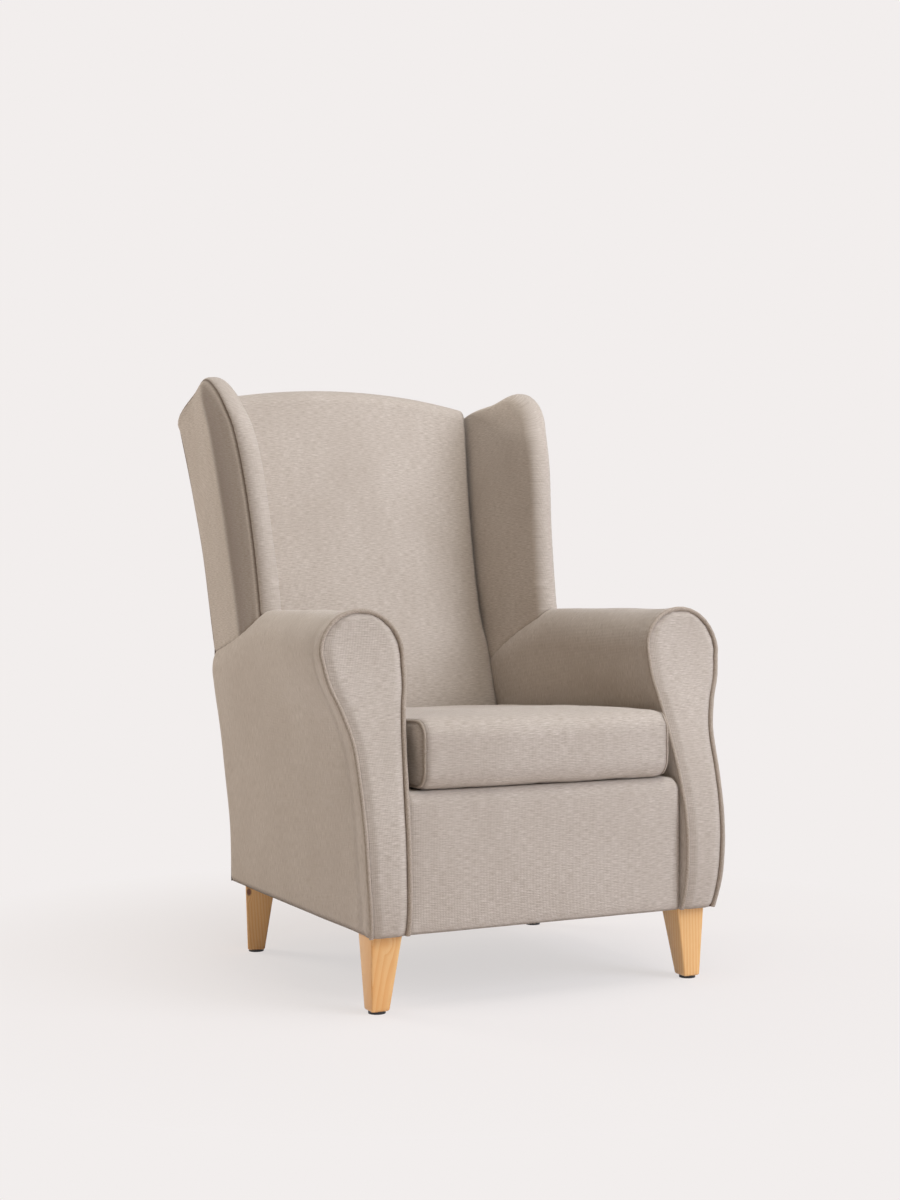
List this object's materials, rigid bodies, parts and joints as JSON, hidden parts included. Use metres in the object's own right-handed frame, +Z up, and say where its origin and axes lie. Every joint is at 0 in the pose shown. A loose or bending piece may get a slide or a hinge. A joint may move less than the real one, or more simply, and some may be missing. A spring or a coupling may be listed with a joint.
{
  "type": "fireside chair",
  "caption": "Upholstered wing-back fireside chair with rolled, piped arms, a loose box seat cushion with a rear zip, a crested raked back and tapered wooden legs.",
  "frame": {"origin": "on the floor under the centre of the chair's overall box", "axes": "+Z up, -Y out of the front of the seat, +X to the right of a viewer who faces the front"},
  "size_m": [0.727, 0.8928, 1.046],
  "materials": {
    "lacquered_pine": "satin",
    "black_plastic": "matte",
    "zinc_steel": "satin",
    "spring_steel": "satin",
    "frame_pine": "matte",
    "plywood": "matte",
    "grey_felt": "matte",
    "foam": "matte",
    "webbing": "matte",
    "lining_cloth": "matte",
    "taupe_fabric": "matte",
    "taupe_piping": "matte",
    "zip_tape": "matte",
    "zip_metal": "satin"
  },
  "bodies": {
    "chair": {"leg_front_left": "lacquered_pine", "leg_front_right": "lacquered_pine", "leg_rear_left": "lacquered_pine", "leg_rear_right": "lacquered_pine", "leg_glides": "black_plastic", "leg_bolts": "zinc_steel", "leg_plates": "zinc_steel", "front_seat_rail": "frame_pine", "rear_seat_rail": "frame_pine", "side_seat_rail_left": "frame_pine", "side_seat_rail_right": "frame_pine", "corner_blocks": "frame_pine", "front_post_left": "frame_pine", "front_post_right": "frame_pine", "arm_post_left": "frame_pine", "arm_post_right": "frame_pine", "arm_rail_left": "frame_pine", "arm_rail_right": "frame_pine", "scroll_board_left": "plywood", "scroll_board_right": "plywood", "rear_post_left": "frame_pine", "rear_post_right": "frame_pine", "lower_back_rail": "frame_pine", "crest_board": "plywood", "wing_board_left": "plywood", "wing_board_right": "plywood", "frame_screws": "zinc_steel", "seat_springs": "spring_steel", "spring_clips": "zinc_steel", "spring_felt": "grey_felt", "deck_foam": "foam", "deck_cloth": "lining_cloth", "back_webbing": "webbing", "back_foam": "foam", "arm_foam_left": "foam", "arm_foam_right": "foam", "facing_board_left": "plywood", "facing_board_right": "plywood", "arm_cover_left": "taupe_fabric", "arm_cover_right": "taupe_fabric", "arm_facing_left": "taupe_fabric", "arm_facing_right": "taupe_fabric", "arm_piping_left": "taupe_piping", "arm_piping_right": "taupe_piping", "wing_cover_left": "taupe_fabric", "wing_cover_right": "taupe_fabric", "inside_back_cover": "taupe_fabric", "outside_back_panel": "taupe_fabric", "front_border": "taupe_fabric", "dust_cover": "lining_cloth"},
    "seat_cushion": {"cushion_cover": "taupe_fabric", "cushion_core": "foam", "zip_tape": "zip_tape"},
    "zip_slider": {"zip_slider": "zip_metal"},
    "zip_pull": {"zip_pull": "zip_metal"}
  },
  "joints": [
    {"name": "cushion_slide", "type": "slide", "parent": "chair", "child": "seat_cushion", "axis": [0, -1, 0], "range_m": [0, 0.6]},
    {"name": "zip_slide", "type": "slide", "parent": "seat_cushion", "child": "zip_slider", "axis": [1, 0, 0], "range_m": [0, 0.34]},
    {"name": "zip_pull_swing", "type": "hinge", "parent": "zip_slider", "child": "zip_pull", "pos_m": [-0.17, 0.16886, 0.3926], "axis": [1, 0, 0], "range_deg": [0, 85]}
  ]
}
